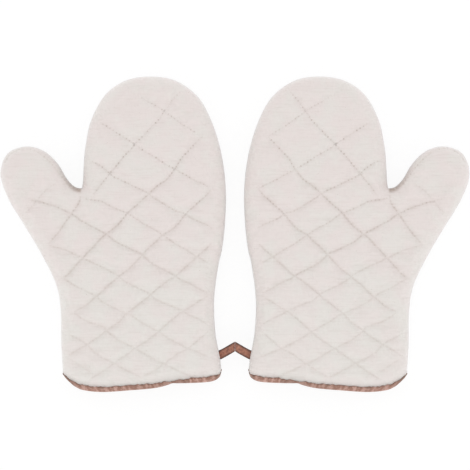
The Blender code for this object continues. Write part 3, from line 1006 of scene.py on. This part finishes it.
loop_points, loop_faces, loop_values = loop_surface()
loops = []
for word, hand in HANDS:
    loop = add_piece(f"{word}_tape_loop", loop_points, loop_faces, hand,
                     f"{word}_loop", loop_values)
    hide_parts(f"{word}_hanging_loop")
    loops.append(loop)
print("loop of", len(loop_faces), "faces, from", loop_points.min(axis=0).round(4),
      "to", loop_points.max(axis=0).round(4))

# %% [markdown]
# All stitches are one small thread shape that Geometry Nodes sets along lines
# on the finished surfaces, at an even pitch.
# %% Stitches
QUILT_PITCH = 3.7 * MM
QUILT_STITCH = 2.7 * MM
QUILT_THREAD = 0.34 * MM
EDGE_PITCH = 2.9 * MM
EDGE_STITCH = 2.2 * MM
EDGE_THREAD = 0.36 * MM
LOOP_PITCH = 1.9 * MM
LOOP_STITCH = 1.4 * MM
LOOP_THREAD = 0.3 * MM
THREAD_SINK = 0.12 * MM
THREAD_SIDES = 6
RAY_HEIGHT = 60 * MM


def stitch_nodes():
    """A node group: a stitch at each point of a line, an ellipsoid in the line's direction."""
    tree = bpy.data.node_groups.new("stitches", "GeometryNodeTree")
    sockets = {}
    for name, kind in (
        ("Line", "Geometry"), ("Stitch length", "Float"), ("Thread", "Float"), ("Material", "Material"),
    ):
        made = tree.interface.new_socket(name, in_out="INPUT", socket_type="NodeSocket" + kind)
        sockets[name] = made.identifier
    tree.interface.new_socket("Stitches", in_out="OUTPUT", socket_type="NodeSocketGeometry")
    given, result = tree.nodes.new("NodeGroupInput"), tree.nodes.new("NodeGroupOutput")
    curve, places, thread, put, real, smooth, coat = (
        tree.nodes.new("GeometryNode" + kind)
        for kind in ("MeshToCurve", "CurveToPoints", "MeshUVSphere", "InstanceOnPoints", "RealizeInstances",
                     "SetShadeSmooth", "SetMaterial")
    )
    size = tree.nodes.new("ShaderNodeCombineXYZ")
    places.mode = "EVALUATED"
    for name, value in (("Segments", THREAD_SIDES), ("Rings", THREAD_SIDES), ("Radius", 0.5)):
        thread.inputs[name].default_value = value
    for source, out, target, into in (
        (given, "Line", curve, "Mesh"), (curve, "Curve", places, "Curve"),
        (given, "Thread", size, "X"), (given, "Thread", size, "Y"), (given, "Stitch length", size, "Z"),
        (places, "Points", put, "Points"), (places, "Rotation", put, "Rotation"),
        (thread, "Mesh", put, "Instance"), (size, "Vector", put, "Scale"),
        (put, "Instances", real, "Geometry"), (real, "Geometry", smooth, "Geometry"),
        (smooth, "Geometry", coat, "Geometry"), (given, "Material", coat, "Material"),
        (coat, "Geometry", result, "Stitches"),
    ):
        tree.links.new(source.outputs[out], target.inputs[into])
    return tree, sockets


stitch_tree, stitch_sockets = stitch_nodes()


def stitched(name, lines, hand, body, look, length, thread):
    """A piece with a stitch at each point of these lines in space."""
    data = bpy.data.meshes.new(name + "_line")
    points, edges = [], []
    for line in lines:
        first = len(points)
        points += [tuple(point * (hand, 1, 1)) for point in line]
        edges += [(first + index, first + index + 1) for index in range(len(line) - 1)]
    data.from_pydata(points, edges, [])
    made = in_scene(name, data)
    sewing = made.modifiers.new("stitches", "NODES")
    sewing.node_group = stitch_tree
    for socket, value in (("Stitch length", length), ("Thread", thread), ("Material", look)):
        sewing[stitch_sockets[socket]] = value
    real = bpy.data.meshes.new_from_object(evaluated(made))
    made.modifiers.clear()
    made.data = real
    bpy.data.meshes.remove(data)
    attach(made, body)
    return made


def stitch_places(line, margin):
    """The middle of each stitch on a plan line: needle holes lie at whole pitches of its run."""
    fine = even(line, TRACE_STEP)
    run = runs_of(fine)
    middles = np.arange(QUILT_PITCH / 2, run[-1], QUILT_PITCH)
    middles = middles[(middles > margin) & (middles < run[-1] - margin)]
    return np.stack([np.interp(middles, run, fine[:, k]) for k in (0, 1)], axis=1)


def dropped(line, side):
    """The plan line laid on the cotton from outside, sunk a little into it."""
    points = []
    for x, y in line:
        start = Vector((x, y, SEAM_HEIGHT + side * RAY_HEIGHT))
        place = outer_surface[side].ray_cast(start, Vector((0, 0, -side)))[0]
        if place is not None:
            points.append((place.x, place.y, place.z - side * THREAD_SINK))
    return np.array(points)


# %% [markdown]
# Shaders are written as arithmetic: a wrapped socket adds and multiplies like
# a number, and each step becomes a node.
# %% Shader arithmetic
class Wire:
    """A socket that takes arithmetic."""

    def __init__(self, shader, socket):
        self.shader, self.socket = shader, socket

    def _math(self, operation, *values):
        return self.shader.node("ShaderNodeMath", dict(enumerate(values)), operation=operation)

    def __add__(self, other):
        return self._math("ADD", self, other)

    def __sub__(self, other):
        return self._math("SUBTRACT", self, other)

    def __rsub__(self, other):
        return self._math("SUBTRACT", other, self)

    def __mul__(self, other):
        return self._math("MULTIPLY", self, other)

    def __truediv__(self, other):
        return self._math("DIVIDE", self, other)

    def __neg__(self):
        return self._math("MULTIPLY", self, -1.0)

    def sine(self):
        return self._math("SINE", self)

    def absolute(self):
        return self._math("ABSOLUTE", self)

    def most(self, other):
        return self._math("MAXIMUM", self, other)

    def falling(self, reach):
        """1 at zero, dropping like a bell over this reach."""
        share = self / reach
        return self._math("EXPONENT", -(share * share))

    def between(self, low, high):
        """0 at low and under it, 1 at high and over it, and smooth between them."""
        return self.shader.node(
            "ShaderNodeMapRange", {"Value": self, "From Min": low, "From Max": high}, "Result",
            interpolation_type="SMOOTHSTEP",
        )


MIX_FACTOR, MIX_ONE, MIX_OTHER, MIX_RESULT = 0, 6, 7, 2


class Shader:
    """The nodes of a material or a world under construction."""

    def __init__(self, owner, main="Principled BSDF"):
        owner.use_nodes = True
        self.owner, self.tree = owner, owner.node_tree
        self.main = self.tree.nodes[main]

    def fill(self, made, inputs):
        """Links a node's inputs to wires, or sets them."""
        for name, value in inputs.items():
            if isinstance(value, Wire):
                self.tree.links.new(value.socket, made.inputs[name])
            else:
                made.inputs[name].default_value = value

    def node(self, kind, inputs, output=0, **settings):
        made = self.tree.nodes.new(kind)
        for name, value in settings.items():
            setattr(made, name, value)
        self.fill(made, inputs)
        return Wire(self, made.outputs[output])

    def attribute(self, name):
        return self.node("ShaderNodeAttribute", {}, "Fac", attribute_name=name)

    def place(self, stretch=(1, 1, 1), turn=0.0):
        """Object coordinates, stretched and turned about Z."""
        at = self.node("ShaderNodeTexCoord", {}, "Object")
        return self.node("ShaderNodeMapping", {"Vector": at, "Scale": stretch, "Rotation": (0, 0, turn)})

    def noise(self, place, scale, detail=3.0, roughness=0.55):
        given = {"Vector": place, "Scale": scale, "Detail": detail, "Roughness": roughness}
        return self.node("ShaderNodeTexNoise", given, "Fac")

    def grain(self, stretch, detail=2.0, roughness=0.55, turn=0.0):
        """Noise in stretched object coordinates, as fine as the stretch says."""
        return self.noise(self.place(stretch, turn), 1.0, detail, roughness)

    def axis(self, place, name):
        return self.node("ShaderNodeSeparateXYZ", {0: place}, name)

    def mixed(self, share, one, other):
        """A colour between two, by a share from 0 to 1."""
        one, other = ((*value, 1) if isinstance(value, tuple) else value for value in (one, other))
        given = {MIX_FACTOR: share, MIX_ONE: one, MIX_OTHER: other}
        return self.node("ShaderNodeMix", given, MIX_RESULT, data_type="RGBA")

    def finish(self, colour, roughness, height, height_scale, constants):
        """Joins colour, roughness and relief to the surface."""
        bump = self.node("ShaderNodeBump", {"Strength": 1.0, "Distance": height_scale, "Height": height})
        self.fill(self.main, {"Base Color": colour, "Roughness": roughness, "Normal": bump, **constants})
        return self.owner


def new_material(name):
    return Shader(bpy.data.materials.new(name))


def weave(across, along, pitch):
    """Plain weave: two sets of threads that cover each other in turn."""
    one = (across * (pi / pitch)).sine()
    other = (along * (pi / pitch)).sine()
    return (one * other + 1.0) * 0.5


# %% [markdown]
# Unbleached cotton: fine slubs that run across the cloth, a plain weave, dark
# seed specks, a tint that drifts between pinkish and greenish grey, painted
# shade along every stitch groove with a darker painted shadow in each needle
# hole, and a painted warm shadow at the thumb's crotch. Each of its grains has
# a stretch, a detail, a roughness, a share in the shade and one in the relief.
# %% Cotton
COTTON_PINK = (0.778, 0.708, 0.686)
COTTON_GREY = (0.764, 0.732, 0.697)
# Colour of the painted shade in grooves and needle holes, and of the cotton's darker grain.
COTTON_SHADOW_AND_GRAIN = (0.420, 0.335, 0.275)
# Colour of the painted shadow at the thumb's crotch.
CROTCH_SHADOW_COLOUR = (0.300, 0.205, 0.150)
CROTCH_SHADOW_SHARE = 0.88
SPECK = (0.330, 0.240, 0.170)
SPECK_SHARE = 0.45
WEAVE_PITCH = 0.42 * MM
COTTON_GRAINS = (
    ((45, 950, 300), 2.0, 0.55, 0.27, 0.5),
    ((48, 470, 200), 2.0, 0.55, 0.26, 0.6),
    ((900, 70, 300), 2.0, 0.55, 0.10, 0.2),
    ((45, 90, 60), 4.0, 0.6, 0.10, 1.6),
)
GREY_LEVELS = (-0.11, 0.03)
HOLE_LENGTH = 0.45
HOLE_REACH = 0.66 * MM
HOLE_SHARE = 0.55
GROOVE_REACH = 0.8 * MM
GROOVE_SHARE = 0.135
SOFT_REACH = 3.2 * MM
SOFT_SHARE = 0.055
COTTON_RELIEF = 0.35 * MM
COTTON_SHEEN = {"Sheen Weight": 0.75, "Sheen Roughness": 0.5}
LINING_PINK = (0.72, 0.67, 0.62)
LINING_PALE = (0.78, 0.74, 0.69)
LINING_SHADE = (0.45, 0.38, 0.32)
LINING_WEAVE = 0.5 * MM
LINING_RELIEF = 0.4 * MM


def cotton():
    shader = new_material("natural_cotton")
    place = shader.place()
    x, y = shader.axis(place, "X"), shader.axis(place, "Y")
    drift = shader.noise(place, 55.0).between(0.38, 0.66) * 0.75 + (1.0 - y.between(*GREY_LEVELS)) * 0.35
    stitch_off, depth = shader.attribute("stitch_off"), shader.attribute("groove_shadow")
    # The grooves, their soft sides and the needle holes are darkened with painted shade.
    at_hole = (shader.attribute("stitch_run") * (pi / QUILT_PITCH)).sine().absolute()
    hole = at_hole.falling(HOLE_LENGTH) * stitch_off.falling(HOLE_REACH) * shader.attribute("hole_shadow")
    hole = hole * (shader.noise(place, 240.0, 1.0).between(0.36, 0.60) * 1.1 + 0.25)
    groove = stitch_off.falling(GROOVE_REACH) * depth
    soft = stitch_off.falling(SOFT_REACH) * depth
    uneven = shader.noise(place, 140.0, 2.0) * 2.4 - 0.2
    shade = (groove * GROOVE_SHARE + soft * SOFT_SHARE) * uneven + hole * HOLE_SHARE
    relief = weave(x, y, WEAVE_PITCH) * 0.10
    for stretch, detail, roughness, in_shade, in_relief in COTTON_GRAINS:
        grain = shader.grain(stretch, detail, roughness)
        shade = shade + (grain - 0.5) * in_shade
        relief = relief + grain * in_relief
    relief = relief - hole * 0.7
    speck = shader.noise(place, 900.0, 1.0).between(0.755, 0.795)
    colour = shader.mixed(drift, COTTON_PINK, COTTON_GREY)
    colour = shader.mixed(shade, colour, COTTON_SHADOW_AND_GRAIN)
    # Painted warm shadow by the thumb's crotch.
    colour = shader.mixed(shader.attribute("painted_crotch_shadow") * CROTCH_SHADOW_SHARE, colour, CROTCH_SHADOW_COLOUR)
    colour = shader.mixed(speck * SPECK_SHARE, colour, SPECK)
    return shader.finish(colour, 0.93, relief, COTTON_RELIEF, COTTON_SHEEN)


def lining_cloth():
    shader = new_material("plain_lining")
    place = shader.place()
    x, y = shader.axis(place, "X"), shader.axis(place, "Y")
    slub, crease = shader.grain((110, 1700, 500)), shader.grain((60, 25, 60), 3.0)
    colour = shader.mixed(shader.noise(place, 22.0, 2.0), LINING_PINK, LINING_PALE)
    colour = shader.mixed((slub - 0.5) * 0.3, colour, LINING_SHADE)
    relief = weave(x, y, LINING_WEAVE) * 0.15 + slub * 0.35 + crease * 1.6
    return shader.finish(colour, 0.95, relief, LINING_RELIEF, {"Sheen Weight": 0.1})


# %% [markdown]
# The binding is brown cotton cut on the bias, so its weave runs slantwise, and
# the loop is a firmer twill tape of a darker brown.
# %% Brown cloth
# BINDING_LIGHT gives the painted highlight on the pucker crests; BINDING_DARK gives the weft and the painted
# shadow along the band's upper edge.
BINDING_DEEP = (0.400, 0.208, 0.160)
BINDING_DARK = (0.120, 0.068, 0.045)
BINDING_LIGHT = (0.740, 0.475, 0.405)
BINDING_DARKEST = (0.085, 0.062, 0.042)
BINDING_WEAVE = 0.36 * MM
TAPE_LIGHT = (0.500, 0.215, 0.145)
TAPE_DEEP = (0.290, 0.122, 0.083)
TAPE_RIDGE = (0.50, 0.26, 0.19)
TAPE_DARK = (0.095, 0.042, 0.030)
# Colour of the painted highlight at the loop's fold.
TAPE_FOLD_HIGHLIGHT = (0.760, 0.470, 0.400)
TWILL_PITCH = 0.9 * MM
TWILL_SLANT = 0.8
RIM_SPAN = (TAPE_WIDTH * 0.34, TAPE_WIDTH * 0.43)
ROW_PLACE, ROW_REACH = TAPE_WIDTH * 0.31, 0.35 * MM
RIDGE_PLACE, RIDGE_REACH = TAPE_WIDTH * 0.22, 0.55 * MM
BROWN_RELIEF = 0.35 * MM
THREAD_RELIEF = 0.1 * MM
THREAD_COLOURS = {
    "pale": ((0.80, 0.74, 0.70), (0.68, 0.61, 0.55)), "tan": ((0.52, 0.30, 0.22), (0.34, 0.17, 0.11)),
}


def binding_cloth():
    shader = new_material("bias_binding")
    slant = shader.place(turn=pi / 4)
    thread = weave(shader.axis(slant, "X"), shader.axis(slant, "Y"), BINDING_WEAVE)
    slub = shader.grain((1500, 240, 900), turn=pi / 4)
    up, ripple, run = (shader.attribute("band_" + name) for name in ("up", "ripple", "run"))
    across = shader.axis(shader.place(), "Z") * 60
    along = shader.node("ShaderNodeCombineXYZ", {0: run * 420 + up * 0.9, 1: up * 1.3, 2: across})
    patch = shader.noise(along, 1.0)
    # Pucker crests are painted lighter as a highlight, together with random lighter patches.
    crest = (ripple * 0.30 + 0.5 + (patch - 0.5) * 3.0).between(0.1, 1.0)
    # The band's upper edge and the pucker troughs get painted shadow from the cotton above.
    top = (up + (patch - 0.5) * 1.1 - ripple * 0.25).between(0.5, 1.05)
    weft = (1.0 - thread) * 0.10 + (slub - 0.5).between(-0.1, 0.3) * 0.16
    colour = shader.mixed(crest * 0.85, BINDING_DEEP, BINDING_LIGHT)
    colour = shader.mixed(weft, colour, BINDING_DARK)
    colour = shader.mixed(top * 0.62, colour, BINDING_DARK)
    # The band is darker at places along the cuff, as the band_shade table gives.
    colour = shader.mixed(shader.attribute("band_shade") * patch, colour, BINDING_DARKEST)
    relief = thread * 0.3 + slub * 0.5 + patch * 1.2
    return shader.finish(colour, 0.88, relief, BROWN_RELIEF, {"Sheen Weight": 0.12})


def tape_cloth():
    shader = new_material("twill_tape")
    across, along = shader.attribute("tape_across"), shader.attribute("tape_run")
    twill = ((along + across * TWILL_SLANT) * (2 * pi / TWILL_PITCH)).sine() * 0.5 + 0.5
    off_middle = across.absolute()
    # The tape's rounded rims and its sunken stitch rows get painted shade.
    rim = off_middle.between(*RIM_SPAN)
    rows = (off_middle - ROW_PLACE).falling(ROW_REACH)
    ridge = (off_middle - RIDGE_PLACE).falling(RIDGE_REACH)
    fleck = shader.grain((350, 350, 350), 3.0)
    colour = shader.mixed(fleck.between(0.3, 0.7), TAPE_LIGHT, TAPE_DEEP)
    colour = shader.mixed(ridge * 0.35, colour, TAPE_RIDGE)
    colour = shader.mixed(rim * 0.9 + (1.0 - twill) * 0.16, colour, TAPE_DARK)
    colour = shader.mixed(rows * 0.45, colour, TAPE_DARK)
    # The fold's tip is painted paler as a highlight.
    colour = shader.mixed(shader.attribute("fold_highlight") * 0.75, colour, TAPE_FOLD_HIGHLIGHT)
    relief = twill * 0.45 + fleck * 0.3 - rows * 0.5
    return shader.finish(colour, 0.86, relief, BROWN_RELIEF, {"Sheen Weight": 0.15})


def thread_look(name, light, dark):
    shader = new_material(name + "_thread")
    twist = shader.grain((900, 900, 900))
    colour = shader.mixed(twist.between(0.3, 0.7), light, dark)
    return shader.finish(colour, 0.8, twist, THREAD_RELIEF, {})


for pieces, make_look in (
    (covers, cotton), (linings, lining_cloth), (bindings, binding_cloth), (loops, tape_cloth),
):
    look = make_look()
    for piece in pieces:
        piece.data.materials.clear()
        piece.data.materials.append(look)
threads = {name: thread_look(name, *colours) for name, colours in THREAD_COLOURS.items()}
print("looks for", len(covers + linings + bindings + loops), "pieces, threads in", " and ".join(threads))

# %% [markdown]
# The stitches themselves: along every quilting line, along the thumb's seam,
# round the binding and along the loop's edges.
# %% Sewing
QUILT_MARGIN = 6 * MM
THUMB_MARGIN = 2 * MM
EDGE_THREAD_LIFT = 0.12 * MM
BELOW_BAND_TOP = 1.1 * MM
LEAST_EDGE_ROW = 0.2 * MM
LOOP_ROWS = (3, 7)
LOOP_RUN = slice(3, -10)

sewn = [stitch_places(line, QUILT_MARGIN) for line in quilt_lines] + [stitch_places(thumb_seam, THUMB_MARGIN)]
sewn = [line + GLOVE_PLACE[:2] for line in sewn if len(line) > 2]
edge_depth = SIDE_PINCH - BINDING_GAP - BINDING_THICKNESS - EDGE_THREAD_LIFT
edge_rows = [
    mouth_line(edge_depth, np.maximum(LEAST_EDGE_ROW, band_top(side) - BELOW_BAND_TOP), side)
    for side in (UP, DOWN)
]
edge_rows = [even(row + LIFTED_PLACE, EDGE_PITCH) for row in edge_rows]
loop_grid = loop_points.reshape(-1, 2 * len(TAPE_SECTION), 3)
loop_rows = [even(loop_grid[LOOP_RUN, column], LOOP_PITCH) for column in LOOP_ROWS]
for word, hand in HANDS:
    for side, face_word in FACES:
        lines = [line for line in (dropped(plan_line, side) for plan_line in sewn) if len(line) > 2]
        stitched(f"{word}_quilting_thread_{face_word}", lines, hand, f"{word}_glove",
                 threads["pale"], QUILT_STITCH, QUILT_THREAD)
    stitched(f"{word}_edge_thread", edge_rows, hand, f"{word}_glove",
             threads["tan"], EDGE_STITCH, EDGE_THREAD)
for word, hand in HANDS:
    stitched(f"{word}_loop_thread", loop_rows, hand, f"{word}_loop",
             threads["tan"], LOOP_STITCH, LOOP_THREAD)
print("stitches sewn")

# %% [markdown]
# The table is plain white: a camera ray sees it lit evenly, while the gloves'
# faint shadow stays on it. Light comes softly from all round, with a wide lamp
# over the table and a low one in front.
# %% Light and table
TABLE_SIZE = 8
TABLE_DEPTH = 0.3 * MM
TABLE_WHITE = (0.92, 0.92, 0.92, 1)
TABLE_GLOW = 1.03
WHITE_SHARE = 0.86
HORIZON_LIGHT = 1.36
ZENITH_LIGHT = 0.695
LAMPS = (
    ("overhead", (0, 0.35, 1.9), (1.6, 1.2), 2.6),
    ("front_fill", (0, -1.5, 1.0), (1.8, 0.6), 2.5),
)


def white_table():
    """White paper that glows evenly for a ray that comes straight, glossily or through something."""
    top = new_material("white_table")
    top.fill(top.main, {"Base Color": TABLE_WHITE, "Roughness": 0.9})
    seen, glossy, through = (
        top.node("ShaderNodeLightPath", {}, f"Is {kind} Ray") for kind in ("Camera", "Glossy", "Transmission")
    )
    share = seen.most(glossy).most(through) * WHITE_SHARE
    glow = top.node("ShaderNodeEmission", {"Color": (1, 1, 1, 1), "Strength": TABLE_GLOW})
    blend = top.node("ShaderNodeMixShader", {0: share, 1: Wire(top, top.main.outputs[0]), 2: glow})
    top.fill(top.tree.nodes["Material Output"], {"Surface": blend})
    return top.owner


def lamp(name, place, size, power):
    """A wide lamp that faces the pair."""
    data = bpy.data.lights.new(name, "AREA")
    data.shape = "RECTANGLE"
    data.size, data.size_y = size
    data.energy = power
    made = in_scene(name, data)
    made.location = place
    made.rotation_euler = (Vector(place) * -1).to_track_quat("-Z", "Y").to_euler()
    return made


floor_mesh = bpy.data.meshes.new("table")
reach = TABLE_SIZE / 2
corners = [(-reach, -reach, 0), (reach, -reach, 0), (reach, reach, 0), (-reach, reach, 0)]
floor_mesh.from_pydata(corners, [], [(0, 1, 2, 3)])
floor_mesh.materials.append(white_table())
floor = in_scene("table", floor_mesh)
floor.location.z = -TABLE_DEPTH

world = bpy.data.worlds.new("soft_light")
bpy.context.scene.world = world
sky = Shader(world, "Background")
height = sky.axis(sky.node("ShaderNodeTexCoord", {}, "Generated"), "Z")
given = {"Value": height, "To Min": HORIZON_LIGHT, "To Max": ZENITH_LIGHT}
dome = sky.node("ShaderNodeMapRange", given, "Result")
sky.fill(sky.main, {"Color": (1, 1, 1, 1), "Strength": dome})

lamps = [lamp(*settings) for settings in LAMPS]
print(len(lamps), "lamps over a table of", TABLE_SIZE, "m")
